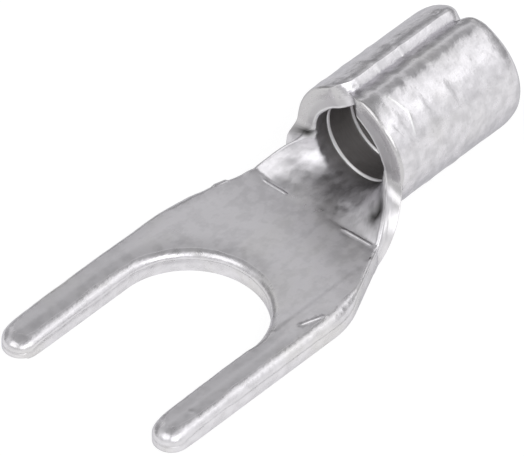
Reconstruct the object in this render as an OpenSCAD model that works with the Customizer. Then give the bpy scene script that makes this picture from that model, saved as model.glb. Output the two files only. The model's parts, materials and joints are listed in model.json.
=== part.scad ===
// Bare fork terminal for a wire: one piece of tin-plated copper sheet.
// The blank is stamped flat. Its tongue stays flat and carries the two tines,
// and its rear wings are rolled up into a barrel that closes along a top seam.
// X runs along the wire, from the tine tips to the barrel, and Z is up.
// The origin is the centre of the stud slot, on the underside of the tongue.

/* [Sheet] */
// Thickness of the copper sheet
sheet_t = 1; // [0.9:0.05:1.05]
// Leg of the rounded edge that the stamping die leaves on the upper side
die_roll = 0.2; // [0.1:0.05:0.25]

/* [Fork] */
// Clear width of the slot, for an M6 stud
slot_w = 6.4; // [5.4:0.1:6.8]
// Width of each tine
tine_w = 1.5; // [1.3:0.1:2]
// Reach of the tines, from the slot centre to the tips
tine_reach = 6; // [4:0.5:8]

/* [Body] */
// Width of the neck, where the flat tongue ends
neck_w = 6.6; // [6:0.1:7]
// Where the flat tongue ends and the sheet begins to roll up
crease_x = 7.5; // [7:0.1:8]
// Angle at which the sides of the tongue close in towards the neck
taper_angle = 23.5; // [21:0.5:30]
// Radius of the round shoulder between the straight and the tapered side
shoulder_r = 5; // [3:0.5:6]
// Radius of the inner corner between the neck and the front of each wing
wing_corner_r = 0.5; // [0.3:0.1:0.6]

/* [Barrel] */
// Bore of the barrel, which takes the bare conductor
bore_d = 3.6; // [3.4:0.05:3.8]
// Length of the barrel
barrel_len = 7; // [6.5:0.1:9]
// Distance from the crease to the front of the barrel
roll_len = 1.95; // [1.7:0.05:2.2]
// Sideways set of the neck and barrel from the middle of the slot, left by the press
side_set = 0.2; // [0:0.05:0.3]
// Leg of the rounded outer edge at the rear of the barrel
rim_round = 0.2; // [0.1:0.05:0.25]

/* [Seam] */
// Angle of the square wing edge, past the top of the barrel
seam_angle = 10; // [6:1:14]
// Open width of the seam at the bore
seam_gap = 0.15; // [0.1:0.05:0.3]
// Radius of the rounded edge of the other wing, as a share of the sheet thickness
nose_share = 1.05; // [1.02:0.01:1.1]
// How far the rounded edge stands out of the barrel's own curve
nose_bulge = 0.06; // [0.04:0.01:0.1]
// Front corner radius of the square-edged wing
square_corner_r = 0.4; // [0.3:0.1:0.6]
// Front corner radius of the round-edged wing
round_corner_r = 0.9; // [0.6:0.1:1.1]

/* [Grip grooves] */
// Number of rings pressed into the bore to grip the strands
groove_count = 3; // [1:1:3]
// Distance from the front of the barrel to the first ring
groove_start = 0.85; // [0.7:0.05:1.4]
// Distance from one ring to the next
groove_pitch = 1.45; // [1.2:0.05:1.7]
// Width of each ring at the bore
groove_w = 0.6; // [0.4:0.1:0.8]
// Depth of each ring
groove_depth = 0.12; // [0.05:0.01:0.18]

/* [Hidden] */
$fn = 96;

// Fork and tongue
slot_r = slot_w / 2;
fork_half = slot_r + tine_w;
tip_x = tine_w / 2 - tine_reach;
tip_y = slot_r + tine_w / 2;
shoulder_y = fork_half - shoulder_r;
// Each side closes in by a little more or less than the other, as the neck is set sideways
function neck_y(side) = neck_w / 2 + side * side_set;
function shoulder_x(side) =
    crease_x - (fork_half - neck_y(side)) / tan(taper_angle) - shoulder_r * tan(taper_angle / 2);

// Barrel
bore_r = bore_d / 2;
barrel_r = bore_r + sheet_t;
middle_r = bore_r + sheet_t / 2;
barrel_x = crease_x + roll_len;
axis_z = barrel_r;

// Seam: angles are measured from straight up, positive towards -Y
nose_r = nose_share * sheet_t;
nose_reach = barrel_r + nose_bulge - nose_r;
nose_spread = acos((nose_reach * nose_reach + bore_r * bore_r - nose_r * nose_r) / (2 * nose_reach * bore_r));
gap_angle = seam_gap / bore_r * 180 / PI;
nose_angle = gap_angle - seam_angle + nose_spread;
nose_tip_y = bore_r * sin(seam_angle - gap_angle);
square_edge_y = middle_r * sin(seam_angle);
seam_y = bore_r * sin(seam_angle - gap_angle / 2);

// A rounded edge crosses both faces at this angle, as a worn edge does
edge_angle = 20;
// Cutters stand clear of the sheet by this much
clear = 0.5;
// The neck is set in from the tongue and the barrel that it runs into
set_in = 0.02;
overlap = 0.3;
neck_steps = 14;
corner_steps = 6;
neck_columns = 30;

function dir(angle) = [-sin(angle), cos(angle)];
function arc(centre, r, from, to, steps) =
    [for (i = [0 : steps]) centre + r * [cos(from + (to - from) * i / steps), sin(from + (to - from) * i / steps)]];

// What a rounded edge takes away, where x is outward from the wall and y is up.
// The leg is measured down from the upper face at y = top.
module edge_profile(leg, top) {
    r = leg / (cos(edge_angle) - sin(edge_angle));
    inset = r * cos(edge_angle);
    translate([-inset, top - inset])
        difference() {
            square(inset + clear);
            circle(r);
        }
}

// Rounded edge along a straight wall from p to q, with the sheet on the right
module straight_edge(p, q) {
    run = q - p;
    translate([p.x, p.y, 0])
        rotate([0, 0, atan2(run.y, run.x) + 90])
            rotate([90, 0, 0])
                linear_extrude(norm(run))
                    edge_profile(die_roll, sheet_t);
}

// Rounded edge along a wall that turns about a centre, on its outside or its inside
module turned_edge(centre, r, from, sweep, inside = false) {
    translate([centre.x, centre.y, 0])
        rotate([0, 0, from])
            rotate_extrude(angle = sweep)
                translate([r, 0])
                    mirror([inside ? 1 : 0, 0])
                        edge_profile(die_roll, sheet_t);
}

// Outline of the flat tongue from above, square at the end of the slot
module outline() {
    function half(side) = concat(
        [[0, slot_r]],
        arc([tip_x, tip_y], tine_w / 2, 270, 90, 24),
        arc([shoulder_x(side), shoulder_y], shoulder_r, 90, 90 - taper_angle, 10),
        [[crease_x, neck_y(side)]]
    );
    left = half(1);
    right = half(-1);
    polygon(concat(left, [for (i = [len(right) - 1 : -1 : 0]) [right[i].x, -right[i].y]]));
}

// The flat tongue with its tines and slot
module tongue() {
    difference() {
        linear_extrude(sheet_t)
            difference() {
                outline();
                circle(slot_r);
            }
        turned_edge([0, 0], slot_r, -90, 180, inside = true);
        for (side = [1, -1]) {
            shoulder = [shoulder_x(side), shoulder_y];
            slope = [cos(taper_angle), -sin(taper_angle)];
            mirror([0, side > 0 ? 0 : 1, 0]) {
                straight_edge([tip_x, fork_half], [shoulder.x, fork_half]);
                turned_edge([tip_x, tip_y], tine_w / 2, 90, 180);
                straight_edge([0, slot_r], [tip_x, slot_r]);
                turned_edge(shoulder, shoulder_r, 90 - taper_angle, taper_angle);
                straight_edge(shoulder - shoulder_r * [slope.y, -slope.x], [crease_x, neck_y(side)] + overlap * slope);
            }
        }
    }
}

// A point of the sheet after rolling: s across the blank, h up from its underside.
// The roll grows evenly from flat at the crease to the barrel's own curve.
function roll(x) = min(max((x - crease_x) / roll_len, 0), 1);
function rolled(x, s, h) =
    roll(x) < 0.001
    ? [x, side_set + s, h]
    : let (r = middle_r / roll(x), a = s / r * 180 / PI, rho = r + sheet_t / 2 - h)
      [x, side_set + rho * sin(a), sheet_t / 2 + r - rho * cos(a)];

// The neck: a loft of sheet sections from the flat tongue to the front of the barrel
module neck() {
    corner_start = barrel_x - wing_corner_r;
    plain = [for (i = [0 : neck_steps]) [crease_x + (corner_start - crease_x) * i / neck_steps, 0]];
    corner = [for (i = [1 : corner_steps]) let (a = 90 * i / corner_steps)
        [corner_start + wing_corner_r * sin(a), wing_corner_r * (1 - cos(a))]];
    stations = concat([[crease_x - overlap, 0]], plain, corner, [[barrel_x + overlap, wing_corner_r]]);
    edge = 1 - die_roll / (neck_w / 2);
    columns = concat([-1], [for (i = [0 : neck_columns]) edge * (2 * i / neck_columns - 1)], [1]);
    rows = len(stations);
    across = len(columns);
    half = neck_w / 2 - set_in;
    under = [for (p = stations, c = columns) rolled(p[0], c * (half + p[1]), set_in)];
    upper = [for (p = stations, c = columns)
        rolled(p[0], c * (half + p[1]), sheet_t - set_in - (abs(c) == 1 ? die_roll : 0))];
    // Places in the point list of the underside and the upper side
    function low(i, j) = i * across + j;
    function high(i, j) = rows * across + low(i, j);
    skins = [for (i = [0 : rows - 2], j = [0 : across - 2]) each [
        [low(i, j), low(i + 1, j + 1), low(i, j + 1)],
        [low(i, j), low(i + 1, j), low(i + 1, j + 1)],
        [high(i, j), high(i, j + 1), high(i + 1, j + 1)],
        [high(i, j), high(i + 1, j + 1), high(i + 1, j)]
    ]];
    sides = [for (i = [0 : rows - 2]) each [
        [low(i, 0), high(i + 1, 0), low(i + 1, 0)],
        [low(i, 0), high(i, 0), high(i + 1, 0)],
        [low(i, across - 1), low(i + 1, across - 1), high(i + 1, across - 1)],
        [low(i, across - 1), high(i + 1, across - 1), high(i, across - 1)]
    ]];
    ends = [for (j = [0 : across - 2]) each [
        [low(0, j), high(0, j + 1), high(0, j)],
        [low(0, j), low(0, j + 1), high(0, j + 1)],
        [low(rows - 1, j), high(rows - 1, j), high(rows - 1, j + 1)],
        [low(rows - 1, j), high(rows - 1, j + 1), low(rows - 1, j + 1)]
    ]];
    polyhedron(points = concat(under, upper), faces = concat(skins, sides, ends), convexity = 6);
}

// The part of a barrel section between two angles, out past the sheet
module sector(from, to) {
    polygon([[0, 0], 2 * barrel_r * dir(from), 2 * barrel_r * dir((from + to) / 2), 2 * barrel_r * dir(to)]);
}

// Section of the barrel: a ring with one square wing edge and one rounded wing edge
module barrel_section() {
    difference() {
        circle(barrel_r);
        circle(bore_r);
        sector(-seam_angle, nose_angle);
    }
    difference() {
        translate(nose_reach * dir(nose_angle))
            circle(nose_r);
        circle(bore_r);
    }
}

// A corner of a wing as seen from above, cut away to a round as far as the seam
module corner_cut(y, r) {
    across = abs(y - seam_y);
    translate([barrel_x, side_set + y, axis_z])
        mirror([0, y < seam_y ? 1 : 0, 0])
            linear_extrude(barrel_r + clear)
                difference() {
                    translate([-clear, -across])
                        square([r + clear, r + across]);
                    translate([r, r])
                        circle(r);
                }
}

// The rolled barrel, with its rim, grip rings and wing corners
module barrel() {
    difference() {
        translate([barrel_x, side_set, axis_z])
            rotate([90, 0, 90])
                linear_extrude(barrel_len)
                    barrel_section();
        translate([barrel_x, side_set, axis_z])
            rotate([0, 90, 0]) {
                rotate_extrude()
                    translate([barrel_r, 0])
                        edge_profile(rim_round, barrel_len);
                for (i = [0 : groove_count - 1])
                    translate([0, 0, groove_start + i * groove_pitch])
                        rotate_extrude()
                            polygon([
                                [0, 0], [bore_r, 0], [bore_r + groove_depth, groove_w / 4],
                                [bore_r + groove_depth, groove_w * 3 / 4], [bore_r, groove_w], [0, groove_w]
                            ]);
            }
        corner_cut(square_edge_y, square_corner_r);
        corner_cut(nose_tip_y, round_corner_r);
    }
}

// The whole terminal is one sheet
module fork_terminal() {
    color("silver")
        union() {
            tongue();
            neck();
            barrel();
        }
}

fork_terminal();
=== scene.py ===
import json
import math

import bpy
import numpy as np
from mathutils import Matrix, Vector, kdtree, noise
from mathutils.geometry import delaunay_2d_cdt


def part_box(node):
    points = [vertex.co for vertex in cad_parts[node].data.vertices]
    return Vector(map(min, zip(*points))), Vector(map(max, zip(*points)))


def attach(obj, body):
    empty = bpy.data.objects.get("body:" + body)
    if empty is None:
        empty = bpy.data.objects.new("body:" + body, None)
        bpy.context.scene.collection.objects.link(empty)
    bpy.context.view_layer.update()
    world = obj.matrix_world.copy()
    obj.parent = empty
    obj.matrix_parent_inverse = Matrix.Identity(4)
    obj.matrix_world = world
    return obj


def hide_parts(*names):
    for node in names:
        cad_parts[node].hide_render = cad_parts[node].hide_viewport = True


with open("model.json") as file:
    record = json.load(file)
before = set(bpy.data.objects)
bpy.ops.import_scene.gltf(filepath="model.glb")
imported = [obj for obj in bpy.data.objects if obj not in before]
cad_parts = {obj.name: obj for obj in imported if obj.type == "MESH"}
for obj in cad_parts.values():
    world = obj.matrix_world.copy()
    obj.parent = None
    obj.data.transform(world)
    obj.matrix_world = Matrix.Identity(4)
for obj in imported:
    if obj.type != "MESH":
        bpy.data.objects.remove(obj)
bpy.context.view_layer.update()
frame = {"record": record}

# Fork terminal
# One piece of copper sheet a millimetre thick, plated with tin. A press stamps the blank flat,
# which leaves its upper edges rounded, and rolls the rear wings up into a barrel.
# The far wing ends in a square edge and the near one in a rounded edge, with a seam between.

MM = 0.001
mounts = {mount["name"]: mount for mount in frame["record"]["mounts"]}
lowest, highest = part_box("fork_terminal")
barrel = mounts["wire_barrel"]
sheet = mounts["screw_face"]["pos_m"][2]
bore_r = barrel["dims"]["r_mm"] * MM
barrel_len = barrel["dims"]["length_mm"] * MM
side_set = barrel["pos_m"][1]
middle_r = bore_r + sheet / 2
rear_x = highest.x
barrel_x = rear_x - barrel_len

# The stamped blank, seen from above
slot_r = 3.2 * MM
tine_w = 1.5 * MM
fork_half = slot_r + tine_w
tip_x = lowest.x + tine_w / 2
tip_y = slot_r + tine_w / 2
near_shoulder_r = 4 * MM
far_shoulder_r = 5 * MM
near_taper = math.radians(25.2)
far_taper = math.radians(23.5)
crease_x = 7.5 * MM
roll_len = barrel_x - crease_x
neck_half = 3.3 * MM
wing_corner_r = 0.5 * MM
near_front_r = 0.6 * MM
far_front_r = 0.8 * MM
near_rear_r = 1.0 * MM
far_rear_r = 0.65 * MM
far_turn = math.radians(174.4)
near_turn = math.radians(185.3)
outline_step = 0.08 * MM

# How far each edge is rounded, on the upper side of the blank and on its underside.
# The die rounded the tine edges that face the near side more than those that face away.
# The underside of the wings becomes the outside of the barrel.
SLOT_END = (0.3 * MM, 0.05 * MM)
TINE_NEAR = (0.35 * MM, 0.05 * MM)
TINE_AWAY = (0.2 * MM, 0.05 * MM)
TIP = (0.54 * MM, 0.12 * MM)
SHOULDER = (0.42 * MM, 0.05 * MM)
SLOPE = (0.14 * MM, 0.05 * MM)
NECK = (0.14 * MM, 0.08 * MM)
FRONT = (0.06 * MM, 0.14 * MM)
SEAM = (0.08 * MM, 0.012 * MM)
REAR = (0.08 * MM, 0.28 * MM)


def line(start, end):
    """Points from start up to, and without, end."""
    start, end = np.array(start), np.array(end)
    count = max(2, round(float(np.linalg.norm(end - start)) / outline_step))
    return start + np.linspace(0, 1, count, endpoint=False)[:, None] * (end - start)


def bend(centre, r, begin, finish):
    """Points on an arc, from one angle in degrees up to, and without, another."""
    angles = np.radians([begin, finish])
    count = max(4, round(float(abs(angles[1] - angles[0])) * r / outline_step))
    turn = np.linspace(angles[0], angles[1], count, endpoint=False)
    return np.array(centre) + r * np.stack([np.cos(turn), np.sin(turn)], 1)


def half_outline(side, taper, shoulder_r, turn, front_r, rear_r):
    """One side of the blank, from the end of the slot round the tine and the wing to the rear rim.
    Each row is x, y and the rounding of the upper and under edge there."""
    inner, outer = (
        (TINE_AWAY, TINE_NEAR) if side < 0 else (TINE_NEAR, TINE_AWAY)
    )
    neck_y = neck_half + side * side_set
    seam_y = turn * middle_r + side * side_set
    taper_deg = math.degrees(taper)
    shoulder = (
        crease_x - (fork_half - neck_y) / math.tan(taper) - shoulder_r * math.tan(taper / 2),
        fork_half - shoulder_r,
    )
    slope_x = shoulder[0] + shoulder_r * math.sin(taper)
    slope_y = shoulder[1] + shoulder_r * math.cos(taper)
    wing_y = neck_y + wing_corner_r
    runs = [
        (line((0, slot_r), (tip_x, slot_r)), inner),
        (bend((tip_x, tip_y), tine_w / 2, -90, -270), TIP),
        (line((tip_x, fork_half), (shoulder[0], fork_half)), outer),
        (bend(shoulder, shoulder_r, 90, 90 - taper_deg), SHOULDER),
        (line((slope_x, slope_y), (crease_x, neck_y)), SLOPE),
        (line((crease_x, neck_y), (barrel_x - wing_corner_r, neck_y)), NECK),
        (bend((barrel_x - wing_corner_r, wing_y), wing_corner_r, -90, 0), NECK),
        (line((barrel_x, wing_y), (barrel_x, seam_y - front_r)), FRONT),
        (bend((barrel_x + front_r, seam_y - front_r), front_r, 180, 90), SEAM),
        (line((barrel_x + front_r, seam_y), (rear_x - rear_r, seam_y)), SEAM),
        (bend((rear_x - rear_r, seam_y - rear_r), rear_r, 90, 0), REAR),
    ]
    rows = np.concatenate([np.hstack([points, np.tile(edge, (len(points), 1))]) for points, edge in runs])
    return rows * (1, side, 1, 1), seam_y - rear_r


def smoothed(values, passes):
    """Values along the closed outline, each passed on a little to its neighbours."""
    for _ in range(passes):
        values = (np.roll(values, 1, 0) + 2 * values + np.roll(values, -1, 0)) / 4
    return values


def wobble(places, cell, layer):
    """Smooth noise from about -1 to 1 at places on the blank, with hills about a cell apart."""
    return np.array([noise.noise(Vector((x / cell, y / cell, layer))) for x, y in places])


near, near_rear = half_outline(-1, near_taper, near_shoulder_r, near_turn, near_front_r, near_rear_r)
far, far_rear = half_outline(1, far_taper, far_shoulder_r, far_turn, far_front_r, far_rear_r)
slot_end = bend((0, 0), slot_r, 90, -90)
rear_rim = line((rear_x, -near_rear), (rear_x, far_rear))
outline = np.concatenate(
    [
        np.hstack([slot_end, np.tile(SLOT_END, (len(slot_end), 1))]),
        near,
        np.hstack([rear_rim, np.tile(REAR, (len(rear_rim), 1))]),
        far[:0:-1],
    ]
)
border = outline[:, :2]

# The rounding is uneven: by a share of it, over cells in mm, from one layer of noise each
uneven = np.ones(len(border))
for amount, cell, layer in ((0.16, 1.1, 0.5), (0.1, 0.37, 1.5), (0.06, 0.17, 6.5)):
    uneven += amount * wobble(border, cell * MM, layer)
rounding = smoothed(outline[:, 2:], passes=30) * uneven[:, None]
along = np.roll(border, -1, 0) - np.roll(border, 1, 0)
along /= np.linalg.norm(along, axis=1)[:, None]
inward = smoothed(np.stack([-along[:, 1], along[:, 0]], 1), passes=2)

# Rings of the blank's edge, from the upper face round the wall to the underside,
# with a fine shear line in the wall
round_steps = 7
support = 0.03 * MM
quarter = np.linspace(0, math.pi / 2, round_steps)
rings = [(rounding[:, 0] + support, np.full(len(border), sheet))]
for angle in quarter:
    rings.append((rounding[:, 0] * (1 - math.sin(angle)), sheet - rounding[:, 0] * (1 - math.cos(angle))))
shear_depth = 0.1 * rounding[:, 0]
shear_half = 0.03 * MM
shear_at = sheet - rounding[:, 0] - 0.05 * MM
for depth, rise in ((0, shear_half), (1, 0), (0, -shear_half)):
    rings.append((depth * shear_depth, shear_at + rise))
for angle in quarter[::-1]:
    rings.append((rounding[:, 1] * (1 - math.sin(angle)), rounding[:, 1] * (1 - math.cos(angle))))
rings.append((rounding[:, 1] + support, np.zeros(len(border))))
ring_points = [
    np.hstack([border + inset[:, None] * inward, height[:, None]]) for inset, height in rings
]

# Columns of points across the blank, closer together at the crease and at the grip rings
groove_start = barrel_x + 0.72 * MM
groove_pitch = 1.35 * MM
groove_w = 0.1 * MM
groove_depth = 0.1 * MM
groove_flank = 0.09 * MM
groove_count = 3
grooves = [groove_start + i * groove_pitch for i in range(groove_count)]
row_step = 0.11 * MM
groove_step = 0.03 * MM
crease_step = 0.05 * MM
tongue_step = 0.2 * MM
groove_reach = 0.16 * MM
crease_reach = 0.35 * MM


def column_step(x):
    """Spacing of the columns at a place along the blank."""
    if any(abs(x - edge) < groove_reach for g in grooves for edge in (g, g + groove_w)):
        return groove_step
    if abs(x - crease_x) < crease_reach:
        return crease_step
    return row_step if x > crease_x else tongue_step


columns = [lowest.x]
while columns[-1] < rear_x:
    columns.append(columns[-1] + column_step(columns[-1]))
nose_w = 0.78 * MM
nose_depth = 0.4 * MM
nose_crest = 0.4
seam_edge = border[:, 1].min()
nose_angles = np.linspace(0.4, math.pi / 2, 10)
nose_rows = seam_edge + nose_w * (1 - np.cos(nose_angles))
rows = np.concatenate([nose_rows, np.arange(nose_rows[-1] + row_step, border[:, 1].max(), row_step)])
lattice = np.stack(np.meshgrid(columns, rows, indexing="ij"), -1).reshape(-1, 2)

# Marks, with their height and the side of the blank they lie on: the press tool's edge at the two
# ends of the crease, a scratch by the shoulder, and a bent line and a scratch behind the barrel's front
UPPER, UNDER = 1, 0
mark_half = 0.08 * MM
mark_clear = 1.7 * mark_half
mark_taper = 6
marks = [
    (np.array(start) * MM, np.array(end) * MM, rise * MM, side)
    for start, end, rise, side in (
        ((7.38, 1.5), (7.38, 2.95), 0.075, UPPER),
        ((7.35, -1.3), (7.42, -3.0), 0.075, UPPER),
        ((1.95, -3.86), (3.25, -4.3), 0.075, UPPER),
        ((10.49, -6.2), (10.87, -5.4), 0.013, UNDER),
        ((10.87, -5.44), (10.63, -4.75), 0.011, UNDER),
        ((9.95, -5.35), (10.13, -4.85), -0.018, UNDER),
    )
]


def from_mark(places, start, end):
    """How far places lie from a mark, and how far along it from 0 to 1."""
    way = end - start
    at = np.clip((places - start) @ way / (way @ way), 0, 1)
    return np.linalg.norm(places - start - at[:, None] * way, axis=1), at


for start, end, _, _ in marks:
    lattice = lattice[from_mark(lattice, start, end)[0] > mark_clear]
    way = (end - start) / np.linalg.norm(end - start)
    aside = mark_half * np.array([-way[1], way[0]])
    lines = [line(start + k * aside, end + k * aside) for k in (-1, -0.5, 0, 0.5, 1)]
    lattice = np.concatenate([lattice] + lines)

# Dents in mm: x, y, radius, depth, and the side of the blank. The first three get painted shade in their
# pockets.
shaded_dents = 3
dent_clear = 1.6
dent_reach = 1.55
dents = [
    (8.3, -2.45, 0.3, 0.1, UPPER),
    (8.5, -2.7, 0.36, 0.12, UPPER),
    (9.33, 3.6, 0.18, 0.2, UPPER),
    (-4.27, -4.08, 0.12, 0.035, UPPER),
    (14.95, -5.73, 0.4, 0.045, UNDER),
    (15.5, 6.8, 0.16, 0.05, UNDER),
    (13.1, -6.3, 0.28, 0.015, UNDER),
    (11.9, -4.6, 0.3, 0.012, UNDER),
    (11.11, -6.06, 0.16, 0.025, UNDER),
    (11.7, -5.98, 0.14, 0.02, UNDER),
]
for x, y, radius, _, _ in dents:
    centre = np.array([x, y]) * MM
    away = np.linalg.norm(lattice - centre, axis=1)
    lattice = lattice[away > dent_clear * radius * MM]
    offsets = np.arange(-3, 4) * 0.5 * radius * MM
    grid = np.stack(np.meshgrid(offsets, offsets), -1).reshape(-1, 2)
    grid = grid[np.linalg.norm(grid, axis=1) < dent_reach * radius * MM]
    lattice = np.concatenate([lattice, centre + grid])


def tree_of(places):
    """A search tree of places on the blank."""
    tree = kdtree.KDTree(len(places))
    for i, place in enumerate(places):
        tree.insert((place[0], place[1], 0), i)
    tree.balance()
    return tree


def face_of_blank(ring):
    """The points inside one ring and the triangles that fill it, where the ring's own points come first."""
    tree = tree_of(ring)
    inner = [p for p in lattice if tree.find((p[0], p[1], 0))[2] > 0.5 * row_step]
    flat = [Vector(p[:2]) / MM for p in ring] + [Vector(p) / MM for p in inner]
    ring_face = [list(range(len(ring)))]
    _, _, faces, origin, _, _ = delaunay_2d_cdt(flat, [], ring_face, 1, 1e-5)
    source = [ids[0] for ids in origin]
    triangles = [[source[i] for i in face] for face in faces]
    used = sorted({i for face in triangles for i in face if i >= len(ring)})
    place = {i: i for i in range(len(ring))}
    place.update({i: len(ring) + k for k, i in enumerate(used)})
    inside = np.array([flat[i] for i in used]) * MM
    return inside, [[place[i] for i in face] for face in triangles]


count = len(border)
points = list(ring_points)
faces = []
for k in range(len(rings) - 1):
    for i in range(count):
        j = (i + 1) % count
        faces.append((k * count + i, (k + 1) * count + i, (k + 1) * count + j, k * count + j))
base = len(rings) * count
for first, height, upper in ((0, sheet, True), (len(rings) - 1, 0.0, False)):
    inside, triangles = face_of_blank(ring_points[first])
    points.append(np.hstack([inside, np.full((len(inside), 1), height)]))
    for face in triangles:
        face = [first * count + i if i < count else base + i - count for i in face]
        faces.append(face if upper else face[::-1])
    base += len(inside)
points = np.concatenate(points)

# What the press leaves in the blank: grip rings across the wings' upper side, faint ridges
# behind them on the other side, and a swelling beside the near wing's seam edge
ridge_height = 0.02 * MM
ridge_w = 0.2 * MM
swelling = 0.06 * MM
swelling_w = 0.45 * MM
swelling_from_edge = 0.95 * MM


def bump(values, centre, width):
    """A smooth hill of height 1 about a centre."""
    return np.exp(-(((values - centre) / width) ** 2))


def ramp(values, centre, width):
    """From 0 to 1 about a centre, smoothly."""
    t = np.clip((values - centre) / width + 0.5, 0, 1)
    return t * t * (3 - 2 * t)


places = points[:, :2].copy()
share = np.clip(points[:, 2] / sheet, 0, 1)
across = points[:, 1] - side_set
for g in grooves:
    cut = ramp(points[:, 0], g, groove_flank) - ramp(points[:, 0], g + groove_w, groove_flank)
    points[:, 2] -= groove_depth * cut * share**2
    points[:, 2] -= ridge_height * bump(points[:, 0], g + groove_w / 2, ridge_w) * (1 - share) ** 2
on_barrel = ramp(points[:, 0], barrel_x + 0.3 * MM, 0.6 * MM)
swelling_at = seam_edge - side_set + swelling_from_edge
points[:, 2] -= swelling * bump(across, swelling_at, swelling_w) * (1 - share) ** 2 * on_barrel

# The near wing's rounded seam edge, the rolled-off edge of the far wing and of both wings' fronts,
# and the rounded rear rim
nose_line = border[(border[:, 1] < seam_edge + 0.05 * MM) & (border[:, 0] < rear_x - far_rear_r)]
nose_tree = tree_of(nose_line)
for i, (x, y) in enumerate(places):
    if y < seam_edge + near_front_r + nose_w:
        inset = 1 - min(nose_tree.find((x, y, 0))[2] / nose_w, 1)
        slope = inset**2 / (2 * nose_crest) if inset < nose_crest else inset - nose_crest / 2
        points[i, 2] += nose_depth * slope / (1 - nose_crest / 2) * (1 - share[i])
roll_off_w = 0.35 * MM
roll_off = 0.06 * MM
on_wing = np.abs(places[:, 1]) > neck_half
from_far_edge = border[:, 1].max() - places[:, 1]
from_front = np.where(on_wing, places[:, 0] - barrel_x, roll_off_w)
for distance in (from_far_edge, from_front):
    points[:, 2] += roll_off * np.clip(1 - distance / roll_off_w, 0, 1) ** 2 * (1 - share)
rear_roll_w = 0.8 * MM
rear_roll = 0.18 * MM
points[:, 2] += rear_roll * np.clip(1 - (rear_x - places[:, 0]) / rear_roll_w, 0, 1) ** 2 * (1 - share)

# Both wings' front edges run back towards the seam, and the near one is drawn in a little at the bore
run_back = 0.22 * MM
run_back_len = 2.5 * MM
near_run_at = -(middle_r * math.radians(136)) + side_set
near_run = np.clip((near_run_at - places[:, 1]) / (near_run_at - seam_edge), 0, 1) ** 2
far_run_at = middle_r * math.radians(123) + side_set
far_run = np.clip((places[:, 1] - far_run_at) / (border[:, 1].max() - far_run_at), 0, 1) ** 2
run_fade = np.clip(1 - (places[:, 0] - barrel_x) / run_back_len, 0, 1) * on_wing
points[:, 0] += run_back * (near_run + far_run) * run_fade
lip = 0.12 * MM
lip_len = 0.6 * MM
lip_at = -4.6 * MM
lip_w = 1.1 * MM
lip_fade = np.clip(1 - (places[:, 0] - barrel_x) / lip_len, 0, 1) ** 2
points[:, 2] += lip * bump(places[:, 1], lip_at, lip_w) * lip_fade * share**2 * on_wing

# The rear rim is a little longer on the near side
rear_slant = 0.2 * MM
slant_at = -3.2 * MM
slant_reach = 3.0 * MM
near_side = bump(places[:, 1], slant_at, slant_reach)
points[:, 0] += rear_slant * near_side * np.clip((places[:, 0] - barrel_x) / barrel_len, 0, 1)

# The seam is cut on a slant: the far wing's edge leans back and the near wing's leans over it
slant = 0.3 * MM
slant_w = 0.9 * MM
to_seam = np.minimum(from_far_edge, places[:, 1] - seam_edge)
points[:, 1] -= slant * (0.5 - share) * np.clip(1 - to_seam / slant_w, 0, 1)

# The last stretch of the far wing is rolled less, so its edge faces up towards the near side
straight = 0.9 * MM
unrolled = math.radians(15)
begun_at = border[:, 1].max() - straight
for i in np.nonzero(points[:, 1] > begun_at)[0]:
    angle = (points[i, 1] - begun_at) / straight * unrolled
    from_middle = points[i, 2] - sheet / 2
    points[i, 1] = begun_at + math.sin(angle) * straight / unrolled + from_middle * math.sin(angle)
    points[i, 2] = sheet / 2 - (1 - math.cos(angle)) * straight / unrolled + from_middle * math.cos(angle)

# The tongue's upper face sinks gently towards its stamped edges and the tips of its tines,
# and each tine's top leans down towards the near side
roll_over = 0.12 * MM
roll_over_w = 1.1 * MM
tip_drop = 0.1 * MM
border_tree = tree_of(border)
to_border = np.array([border_tree.find((x, y, 0))[2] for x, y in places])
on_tongue = 1 - ramp(places[:, 0], crease_x - 1.3 * MM, 1.6 * MM)
points[:, 2] -= roll_over * np.clip(1 - to_border / roll_over_w, 0, 1) ** 2 * on_tongue * share**2
points[:, 2] -= tip_drop * np.clip(places[:, 0] / lowest.x, 0, 1) ** 2 * share**2
tine_lean = math.tan(math.radians(3.2))
on_tines = 1 - ramp(places[:, 0], 0.8 * MM, 3.2 * MM)
from_tine_middle = places[:, 1] - np.sign(places[:, 1]) * tip_y
points[:, 2] += tine_lean * from_tine_middle * on_tines * share**2

# The far edge of the neck is drawn under where it was stretched, bulges at the end of the crease
# and has a short burr in front of it
drawn_under = 0.4 * MM
bulge = 0.19 * MM
burr = 0.12 * MM
burr_w = 0.2 * MM
stretch_start = 7.9 * MM
stretch_end = 9.02 * MM
bulge_at = 7.42 * MM
bulge_w = 0.36 * MM
burr_start = 5.9 * MM
burr_end = 6.45 * MM
burr_fade = 0.12 * MM
far_side = ramp(places[:, 1], 3.0 * MM, 0.9 * MM)
stretched = ramp(places[:, 0], stretch_start, 0.5 * MM) - ramp(places[:, 0], stretch_end, 0.3 * MM)
points[:, 1] -= drawn_under * (1 - share) * stretched * far_side * (1 - on_barrel)
points[:, 2] += bulge * bump(places[:, 0], bulge_at, bulge_w) * far_side
on_burr = ramp(places[:, 0], burr_start, burr_fade) - ramp(places[:, 0], burr_end, burr_fade)
on_burr *= np.clip(1 - to_border / burr_w, 0, 1) * (places[:, 1] > 0)
points[:, 2] += burr * on_burr * share**2

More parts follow.
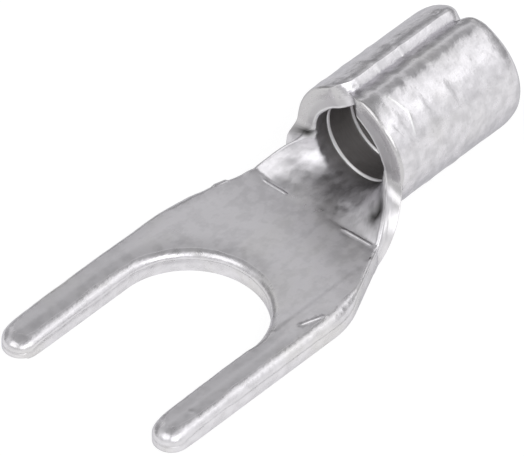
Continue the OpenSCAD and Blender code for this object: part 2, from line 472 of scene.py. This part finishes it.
# Waves in the stretched neck and the rolled barrel, then the marks and the dents
on_neck = ramp(places[:, 0], crease_x + 0.35 * MM, 0.7 * MM)
on_neck -= ramp(places[:, 0], barrel_x + 0.2 * MM, 0.6 * MM)
neck_wave = 0.055 * MM
neck_ripple = 0.02 * MM
barrel_wave = 0.018 * MM
tongue_wave = 0.003 * MM
points[:, 2] += neck_wave * wobble(places, cell=0.75 * MM, layer=2.5) * on_neck * share**2
points[:, 2] += neck_ripple * wobble(places, cell=0.3 * MM, layer=5.5) * on_neck * share**2
points[:, 2] += tongue_wave * wobble(places, cell=1.6 * MM, layer=3.5) * (1 - on_barrel) * share**2
hammered = (1 + wobble(places, cell=0.6 * MM, layer=4.5)) / 2
points[:, 2] += barrel_wave * hammered * on_barrel * (1 - share) ** 2
for start, end, rise, side in marks:
    away, at = from_mark(places, start, end)
    ends = np.clip(mark_taper * at, 0, 1) * np.clip(mark_taper * (1 - at), 0, 1)
    ridge = rise * np.clip(1 - away / mark_half, 0, 1) * ends
    points[:, 2] += ridge * (share**2 if side == UPPER else -((1 - share) ** 2))
for x, y, radius, depth, side in dents:
    away = np.linalg.norm(places - np.array([x, y]) * MM, axis=1)
    hollow = depth * MM * np.exp(-((away / (radius * MM)) ** 2) * 2)
    points[:, 2] += hollow * ((1 - share) ** 2 if side == UNDER else -(share**2))

# The mesh of the blank, with what its finish follows: the cut edge, a painted highlight on the crests of the
# grip rings, the front edge and the bent line, and painted shade in the pockets
crest_w = 0.055 * MM
front_edge_w = 0.12 * MM
blank = bpy.data.meshes.new("fork_terminal_blank")
blank.from_pydata(points.tolist(), [], faces)
blank.update()
cut_edge = blank.attributes.new("cut_edge", "FLOAT", "POINT")
ring_number = np.arange(len(points)) // count
on_edge = (ring_number > 0) & (ring_number < len(rings) - 1)
cut_edge.data.foreach_set("value", on_edge.astype(np.float32))
# Painted highlight along the grip rings' crests, the wings' inner front edge and the bent line
crests = sum(bump(places[:, 0], g + groove_w / 2, crest_w) for g in grooves) * share
front_edge = bump(places[:, 0], barrel_x, front_edge_w) * on_wing * bump(share, 0.95, 0.07)
crests = np.maximum(crests, front_edge)
for start, end, rise, side in marks:
    if side == UNDER and rise > 0:
        away, at = from_mark(places, start, end)
        crest = np.clip(1 - away / mark_half, 0, 1) * np.clip(mark_taper * (1 - at), 0, 1)
        crests = np.maximum(crests, crest * (1 - share))
painted_highlight = blank.attributes.new("painted_highlight", "FLOAT", "POINT")
painted_highlight.data.foreach_set("value", crests.astype(np.float32))
# Painted shade in the pockets of the first dents, on the upper side
pocket_shade_spots = np.zeros(len(points))
for x, y, radius, _, _ in dents[:shaded_dents]:
    away = np.linalg.norm(places - np.array([x, y]) * MM, axis=1)
    spot = np.exp(-((away / (radius * MM)) ** 2) * 1.2)
    pocket_shade_spots = np.maximum(pocket_shade_spots, spot * np.clip(3 * share, 0, 1))
shade_in_pockets = blank.attributes.new("shade_in_pockets", "FLOAT", "POINT")
shade_in_pockets.data.foreach_set("value", pocket_shade_spots.astype(np.float32))
terminal = bpy.data.objects.new("fork_terminal_body", blank)
bpy.context.scene.collection.objects.link(terminal)


def wire(tree, source, target):
    """A link between two sockets of a node tree."""
    tree.links.new(source, target)


def reckon(tree, operation, *values):
    """A Math node on sockets or plain numbers, and its output."""
    node = tree.nodes.new("ShaderNodeMath")
    node.operation = operation
    for socket, value in zip(node.inputs, values):
        if hasattr(value, "is_linked"):
            wire(tree, value, socket)
        else:
            socket.default_value = value
    return node.outputs[0]


# The rolling press: each line across the blank bends to an arc, flat at the crease and
# tighter towards the barrel, with the sheet's middle keeping its length
roll_up = bpy.data.node_groups.new("Roll up the wings", "GeometryNodeTree")
roll_up.interface.new_socket("Geometry", in_out="INPUT", socket_type="NodeSocketGeometry")
roll_sizes = {
    "Crease": crease_x,
    "Roll Length": roll_len,
    "Middle Radius": middle_r,
    "Sheet": sheet,
    "Side Set": side_set,
    "Softness": 0.05,
}
for name in roll_sizes:
    roll_up.interface.new_socket(name, in_out="INPUT", socket_type="NodeSocketFloat")
roll_up.interface.new_socket("Material", in_out="INPUT", socket_type="NodeSocketMaterial")
roll_up.interface.new_socket("Geometry", in_out="OUTPUT", socket_type="NodeSocketGeometry")
given = roll_up.nodes.new("NodeGroupInput")
result = roll_up.nodes.new("NodeGroupOutput")
position = roll_up.nodes.new("GeometryNodeInputPosition")
split = roll_up.nodes.new("ShaderNodeSeparateXYZ")
wire(roll_up, position.outputs[0], split.inputs[0])
past = reckon(roll_up, "SUBTRACT", split.outputs["X"], given.outputs["Crease"])
share_in = reckon(roll_up, "DIVIDE", past, given.outputs["Roll Length"])
begun = reckon(roll_up, "SMOOTH_MAX", share_in, 0.0, given.outputs["Softness"])
rolled = reckon(roll_up, "SMOOTH_MIN", begun, 1.0, given.outputs["Softness"])
curve = reckon(roll_up, "DIVIDE", rolled, given.outputs["Middle Radius"])
curve = reckon(roll_up, "MAXIMUM", curve, 0.1)
span = reckon(roll_up, "SUBTRACT", split.outputs["Y"], given.outputs["Side Set"])
turn = reckon(roll_up, "MULTIPLY", span, curve)
half_sheet = reckon(roll_up, "DIVIDE", given.outputs["Sheet"], 2.0)
above = reckon(roll_up, "SUBTRACT", half_sheet, split.outputs["Z"])
radius = reckon(roll_up, "ADD", reckon(roll_up, "DIVIDE", 1.0, curve), above)
out = reckon(roll_up, "MULTIPLY", radius, reckon(roll_up, "SINE", turn))
half_sine = reckon(roll_up, "SINE", reckon(roll_up, "DIVIDE", turn, 2.0))
lift = reckon(roll_up, "MULTIPLY", reckon(roll_up, "MULTIPLY", half_sine, half_sine), 2.0)
lift = reckon(roll_up, "MULTIPLY", lift, radius)
join = roll_up.nodes.new("ShaderNodeCombineXYZ")
wire(roll_up, split.outputs["X"], join.inputs["X"])
wire(roll_up, reckon(roll_up, "ADD", out, given.outputs["Side Set"]), join.inputs["Y"])
wire(roll_up, reckon(roll_up, "ADD", lift, split.outputs["Z"]), join.inputs["Z"])
keep = roll_up.nodes.new("GeometryNodeStoreNamedAttribute")
keep.data_type = "FLOAT_VECTOR"
keep.inputs["Name"].default_value = "blank_place"
wire(roll_up, given.outputs["Geometry"], keep.inputs["Geometry"])
wire(roll_up, position.outputs[0], keep.inputs["Value"])
move = roll_up.nodes.new("GeometryNodeSetPosition")
wire(roll_up, keep.outputs["Geometry"], move.inputs["Geometry"])
wire(roll_up, join.outputs[0], move.inputs["Position"])
whole = roll_up.nodes.new("GeometryNodeRealizeInstances")
wire(roll_up, move.outputs["Geometry"], whole.inputs["Geometry"])
dress = roll_up.nodes.new("GeometryNodeSetMaterial")
wire(roll_up, whole.outputs["Geometry"], dress.inputs["Geometry"])
wire(roll_up, given.outputs["Material"], dress.inputs["Material"])
wire(roll_up, dress.outputs["Geometry"], result.inputs["Geometry"])

# Tin plate: a satin, faintly mottled skin, dimpled outside the barrel, rougher inside its bore,
# with painted shade darkening the bore. It follows the blank, so each pattern bends with the sheet.
tin = bpy.data.materials.new("tin_plate")
tin.use_nodes = True
skin = tin.node_tree
shader = skin.nodes["Principled BSDF"]
shader.inputs["Metallic"].default_value = 1.0
shader.inputs["Specular Tint"].default_value = (0.6, 0.6, 0.62, 1)
place = skin.nodes.new("ShaderNodeAttribute")
place.attribute_name = "blank_place"
edge = skin.nodes.new("ShaderNodeAttribute")
edge.attribute_name = "cut_edge"
highlight_node = skin.nodes.new("ShaderNodeAttribute")
highlight_node.attribute_name = "painted_highlight"
pocket_shade_node = skin.nodes.new("ShaderNodeAttribute")
pocket_shade_node.attribute_name = "shade_in_pockets"
axes = skin.nodes.new("ShaderNodeSeparateXYZ")
wire(skin, place.outputs["Vector"], axes.inputs[0])


def field(along, across, detail):
    """Noise over the blank, with grains of two lengths: along the terminal and across it."""
    spread = skin.nodes.new("ShaderNodeVectorMath")
    spread.operation = "DIVIDE"
    wire(skin, place.outputs["Vector"], spread.inputs[0])
    spread.inputs[1].default_value = (along * MM, across * MM, across * MM)
    texture = skin.nodes.new("ShaderNodeTexNoise")
    texture.inputs["Scale"].default_value = 1.0
    texture.inputs["Detail"].default_value = detail
    wire(skin, spread.outputs[0], texture.inputs["Vector"])
    return texture.outputs[0]


def fade(value, low, high, to_low=0.0, to_high=1.0):
    """A smooth step of a value from low to high."""
    step = skin.nodes.new("ShaderNodeMapRange")
    step.interpolation_type = "SMOOTHSTEP"
    wire(skin, value, step.inputs["Value"])
    for name, number in (("From Min", low), ("From Max", high), ("To Min", to_low), ("To Max", to_high)):
        step.inputs[name].default_value = number
    return step.outputs[0]


def blend(share, first, second):
    """Two colours mixed by a share."""
    mix = skin.nodes.new("ShaderNodeMix")
    mix.data_type = "RGBA"
    wire(skin, share, mix.inputs["Factor"])
    for socket, value in ((mix.inputs[6], first), (mix.inputs[7], second)):
        if hasattr(value, "is_linked"):
            wire(skin, value, socket)
        else:
            socket.default_value = (*value, 1)
    return mix.outputs[2]


def times(*values):
    """The product of several values."""
    product = values[0]
    for value in values[1:]:
        product = reckon(skin, "MULTIPLY", product, value)
    return product


def total(*values):
    """The sum of several values."""
    result = values[0]
    for value in values[1:]:
        result = reckon(skin, "ADD", result, value)
    return result


# The bore beyond the first ring, which gets painted shade and more roughness
in_bore = times(
    fade(axes.outputs["Z"], 0.6 * sheet, 0.8 * sheet),
    fade(axes.outputs["X"], barrel_x + 0.3 * MM, barrel_x + 0.8 * MM),
    reckon(skin, "SUBTRACT", 1.0, highlight_node.outputs["Fac"]),
)
outside = times(
    fade(axes.outputs["Z"], 0.7 * sheet, 0.3 * sheet),
    fade(axes.outputs["X"], barrel_x - 0.5 * MM, barrel_x + 0.3 * MM),
)
on_neck_face = times(
    fade(axes.outputs["Z"], 0.5 * sheet, 0.8 * sheet),
    fade(axes.outputs["X"], crease_x, crease_x + 0.5 * MM),
    fade(axes.outputs["X"], barrel_x + 0.7 * MM, barrel_x),
)
on_tongue_face = times(
    fade(axes.outputs["Z"], 0.5 * sheet, 0.8 * sheet),
    fade(axes.outputs["X"], crease_x, crease_x - 0.6 * MM),
    reckon(skin, "SUBTRACT", 1.0, edge.outputs["Fac"]),
)
on_roll = times(edge.outputs["Fac"], fade(axes.outputs["Z"], 0.5 * sheet, 0.65 * sheet))
blotch = field(2.4, 1.8, 3)
mottle = field(0.5, 0.4, 4)
dimple = field(0.32, 0.26, 2)
streak = field(0.1, 0.6, 3)
fleck = field(0.17, 0.14, 2)

# How strong the mottling is: most on the neck, least on the cut edges
lively = total(0.7, times(outside, 0.05), times(edge.outputs["Fac"], -0.2), times(on_neck_face, 0.4))

# Colour
bright_tin = (0.742, 0.728, 0.75)
grey_tin = (0.504, 0.495, 0.51)
warm_tin = (0.67, 0.66, 0.615)
fleck_tin = (0.405, 0.395, 0.4)
bore_shade_tin = (0.42, 0.405, 0.4)
# Painted shade for the wings' front faces
front_shade_tin = (0.56, 0.55, 0.555)
# Painted highlight
highlight_tin = (0.85, 0.85, 0.85)
# Painted shade for the dents' pockets
pocket_shade_tin = (0.05, 0.048, 0.045)
cloud = total(
    times(fade(mottle, 0.3, 0.7), total(0.95, times(outside, -0.12))),
    times(fade(streak, 0.3, 0.7), total(0.05, times(outside, 0.12))),
)
cloud = total(
    0.76,
    times(outside, -0.1),
    times(on_tongue_face, 0.12),
    times(reckon(skin, "SUBTRACT", cloud, 0.5), lively),
)
plate = blend(cloud, grey_tin, bright_tin)
warmth = total(0.15, times(edge.outputs["Fac"], 0.15))
plate = blend(times(fade(blotch, 0.5, 0.7), warmth), plate, warm_tin)
flecked = total(0.05, times(outside, 0.25), times(on_neck_face, 0.2))
plate = blend(times(fade(fleck, 0.6, 0.75), flecked), plate, fleck_tin)
# Painted shade darkening the tine tops towards their tips
on_tine_tops = times(on_tongue_face, fade(axes.outputs["X"], 3.0 * MM, -1.0 * MM))
plate = blend(times(on_tine_tops, 0.35), plate, grey_tin)
# Painted shade inside the bore, beyond the first ring, broken by streaks
plate = blend(times(in_bore, fade(streak, 0.2, 0.8, 1.0, 0.8)), plate, bore_shade_tin)
# Painted shade on the wings' cut front faces, standing for the darker tongue that they reflect
shaded_front_face = times(
    edge.outputs["Fac"],
    fade(axes.outputs["X"], barrel_x - 0.4 * MM, barrel_x - 0.1 * MM),
    fade(axes.outputs["X"], barrel_x + 0.4 * MM, barrel_x + 0.15 * MM),
)
plate = blend(shaded_front_face, plate, front_shade_tin)
# Painted highlight on the grip rings' crests, the front edge and the bent line
plate = blend(highlight_node.outputs["Fac"], plate, highlight_tin)
# The colour, with painted shade in the dents' pockets over it
wire(skin, blend(pocket_shade_node.outputs["Fac"], plate, pocket_shade_tin), shader.inputs["Base Color"])

# Roughness: the tongue is satin, and duller towards the crease, the barrel shinier and the bore dull
to_crease = fade(axes.outputs["X"], crease_x - 2.4 * MM, crease_x - 0.6 * MM)
roughness = total(
    0.29,
    times(reckon(skin, "SUBTRACT", mottle, 0.5), 0.25),
    times(outside, -0.05),
    times(on_neck_face, 0.12),
    times(on_tongue_face, total(0.04, times(to_crease, 0.16))),
    times(in_bore, 0.15),
    times(pocket_shade_node.outputs["Fac"], 0.3),
)
wire(skin, roughness, shader.inputs["Roughness"])

# Relief in thousandths of a millimetre
dimple_height = total(
    0.8,
    times(outside, 14.0),
    times(edge.outputs["Fac"], 3.5),
    times(on_neck_face, 5.0),
)
height = total(
    times(dimple, dimple_height),
    times(streak, total(0.4, times(outside, 1.2))),
    times(fleck, on_roll, 11.0),
)
relief = skin.nodes.new("ShaderNodeBump")
relief.inputs["Strength"].default_value = 1.0
relief.inputs["Distance"].default_value = 0.001 * MM
wire(skin, height, relief.inputs["Height"])
wire(skin, relief.outputs["Normal"], shader.inputs["Normal"])

press = terminal.modifiers.new("roll_up", "NODES")
press.node_group = roll_up
sockets = {item.name: item.identifier for item in roll_up.interface.items_tree if item.in_out == "INPUT"}
for name, value in roll_sizes.items():
    press[sockets[name]] = value
press[sockets["Material"]] = tin
graph = bpy.context.evaluated_depsgraph_get()
formed = bpy.data.meshes.new_from_object(terminal.evaluated_get(graph))
terminal.modifiers.clear()
terminal.data = formed
formed.name = "fork_terminal_body"
for polygon in formed.polygons:
    polygon.use_smooth = True

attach(terminal, "root")
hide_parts("fork_terminal")

# Floor
# A plain pale table top that the terminal lies on. It is lit a little by itself where the camera
# or a shiny surface sees it, so that it shows white and still keeps the terminal's shadow.
floor_half = 2.0
floor_gap = 0.02 * MM
paper_grey = 0.3
paper_glow = 0.8
floor_mesh = bpy.data.meshes.new("floor")
corners = [(x * floor_half, y * floor_half) for x, y in ((-1, -1), (1, -1), (1, 1), (-1, 1))]
floor_mesh.from_pydata([(x, y, lowest.z - floor_gap) for x, y in corners], [], [(0, 1, 2, 3)])
floor = bpy.data.objects.new("floor", floor_mesh)
bpy.context.scene.collection.objects.link(floor)
paper = bpy.data.materials.new("pale_paper")
paper.use_nodes = True
tree = paper.node_tree
tree.nodes.clear()
output = tree.nodes.new("ShaderNodeOutputMaterial")
diffuse = tree.nodes.new("ShaderNodeBsdfDiffuse")
diffuse.inputs["Color"].default_value = (paper_grey, paper_grey, paper_grey, 1)
glow = tree.nodes.new("ShaderNodeEmission")
add = tree.nodes.new("ShaderNodeAddShader")
path = tree.nodes.new("ShaderNodeLightPath")
seen = reckon(tree, "MAXIMUM", path.outputs["Is Camera Ray"], path.outputs["Is Glossy Ray"])
seen = reckon(tree, "MAXIMUM", seen, path.outputs["Is Transmission Ray"])
wire(tree, reckon(tree, "MULTIPLY", seen, paper_glow), glow.inputs["Strength"])
wire(tree, diffuse.outputs[0], add.inputs[0])
wire(tree, glow.outputs[0], add.inputs[1])
wire(tree, add.outputs[0], output.inputs["Surface"])
floor_mesh.materials.append(paper)

# Light
# Soft studio light: a pale room that is dimmer overhead and towards some sides and brighter
# towards two places on the near side, and two soft boxes, one over the near side and one
# over the tines.
scene = bpy.context.scene
world = bpy.data.worlds.new("room")
world.use_nodes = True
scene.world = world
room = world.node_tree
look = room.nodes.new("ShaderNodeTexCoord")
height_of = room.nodes.new("ShaderNodeSeparateXYZ")
wire(room, look.outputs["Generated"], height_of.inputs[0])
walls = room.nodes.new("ShaderNodeValToRGB")
wire(room, height_of.outputs["Z"], walls.inputs["Fac"])
levels = (
    (0.0, 0.78),
    (0.2, 0.77),
    (0.45, 0.82),
    (0.65, 0.9),
    (0.73, 0.6),
    (0.8, 0.48),
    (0.9, 0.44),
    (1.0, 0.4),
)
for i, (height_share, level) in enumerate(levels):
    stop = walls.color_ramp.elements[i] if i < 2 else walls.color_ramp.elements.new(height_share)
    stop.position = height_share
    stop.color = (level, level, level * 1.01, 1)


def shaded(brightness, towards, begin, finish, loss):
    """The room's brightness with a share of it lost towards one direction, or gained below zero."""
    facing = room.nodes.new("ShaderNodeVectorMath")
    facing.operation = "DOT_PRODUCT"
    wire(room, look.outputs["Generated"], facing.inputs[0])
    facing.inputs[1].default_value = towards
    step = room.nodes.new("ShaderNodeMapRange")
    step.interpolation_type = "SMOOTHSTEP"
    wire(room, facing.outputs["Value"], step.inputs["Value"])
    for name, number in (("From Min", begin), ("From Max", finish), ("To Min", 1.0), ("To Max", 1.0 - loss)):
        step.inputs[name].default_value = number
    return reckon(room, "MULTIPLY", brightness, step.outputs[0])


camera_side = (-0.547, -0.5, 0.671)
near_left = (-0.33, -0.74, 0.58)
behind_barrel = (1, 0, 0)
far_side_of_room = (-0.2, 0.96, 0.2)
far_right = (0.604, 0.755, 0.252)
near_right = (0.5, -0.78, 0.38)
brightness = 1.0
for towards, begin, finish, loss in (
    (camera_side, 0.95, 0.99, 0.3),
    (near_left, 0.88, 0.96, -1.8),
    (behind_barrel, 0.62, 0.92, 0.46),
    (far_side_of_room, 0.84, 0.97, 0.5),
    (far_right, 0.92, 0.985, 0.45),
    (near_right, 0.9, 0.99, -0.42),
):
    brightness = shaded(brightness, towards, begin, finish, loss)
wire(room, walls.outputs["Color"], room.nodes["Background"].inputs["Color"])
wire(room, brightness, room.nodes["Background"].inputs["Strength"])


watts_per_area = 4


def soft_box(name, place, aim, width, height, radiance):
    """A flat lamp of one radiance, turned to aim at a point."""
    lamp = bpy.data.lights.new(name, "AREA")
    lamp.shape = "RECTANGLE"
    lamp.size = width
    lamp.size_y = height
    lamp.energy = radiance * watts_per_area * width * height
    box = bpy.data.objects.new(name, lamp)
    box.location = place
    box.rotation_mode = "QUATERNION"
    box.rotation_quaternion = (Vector(aim) - Vector(place)).to_track_quat("-Z", "Y")
    scene.collection.objects.link(box)


middle = (lowest + highest) / 2
near_place = middle + Vector((0.475, -0.517, 0.794))
tine_place = middle + Vector((-0.78, 0.05, 0.78))
soft_box("near_soft_box", near_place, middle, width=1.3, height=0.52, radiance=0.5)
soft_box("tine_soft_box", tine_place, middle, width=0.8, height=0.8, radiance=0.75)

# Camera
# A long lens, above and in front of the tines.
azimuth = math.radians(-47.552)
elevation = math.radians(42.143)
aim_right = 2.8467 * MM
aim_up = 3.8156 * MM
camera_distance = 604.1 * MM
sensor_w = 36
picture_w = 524
focal_in_pixels = 15625
right = Vector((math.cos(azimuth), math.sin(azimuth), 0))
back = Vector(
    (
        math.sin(azimuth) * math.cos(elevation),
        -math.cos(azimuth) * math.cos(elevation),
        math.sin(elevation),
    )
)
up = back.cross(right)
aim = right * aim_right + up * aim_up
camera_data = bpy.data.cameras.new("camera")
camera_data.sensor_width = sensor_w
camera_data.lens = sensor_w * focal_in_pixels / picture_w
camera_data.clip_start = 0.01
camera_data.clip_end = 20
camera = bpy.data.objects.new("camera", camera_data)
camera.location = aim + back * camera_distance
camera.rotation_mode = "QUATERNION"
camera.rotation_quaternion = (-back).to_track_quat("-Z", "Y")
scene.collection.objects.link(camera)
scene.camera = camera

scene.view_settings.view_transform = "Standard"

bpy.context.view_layer.update()
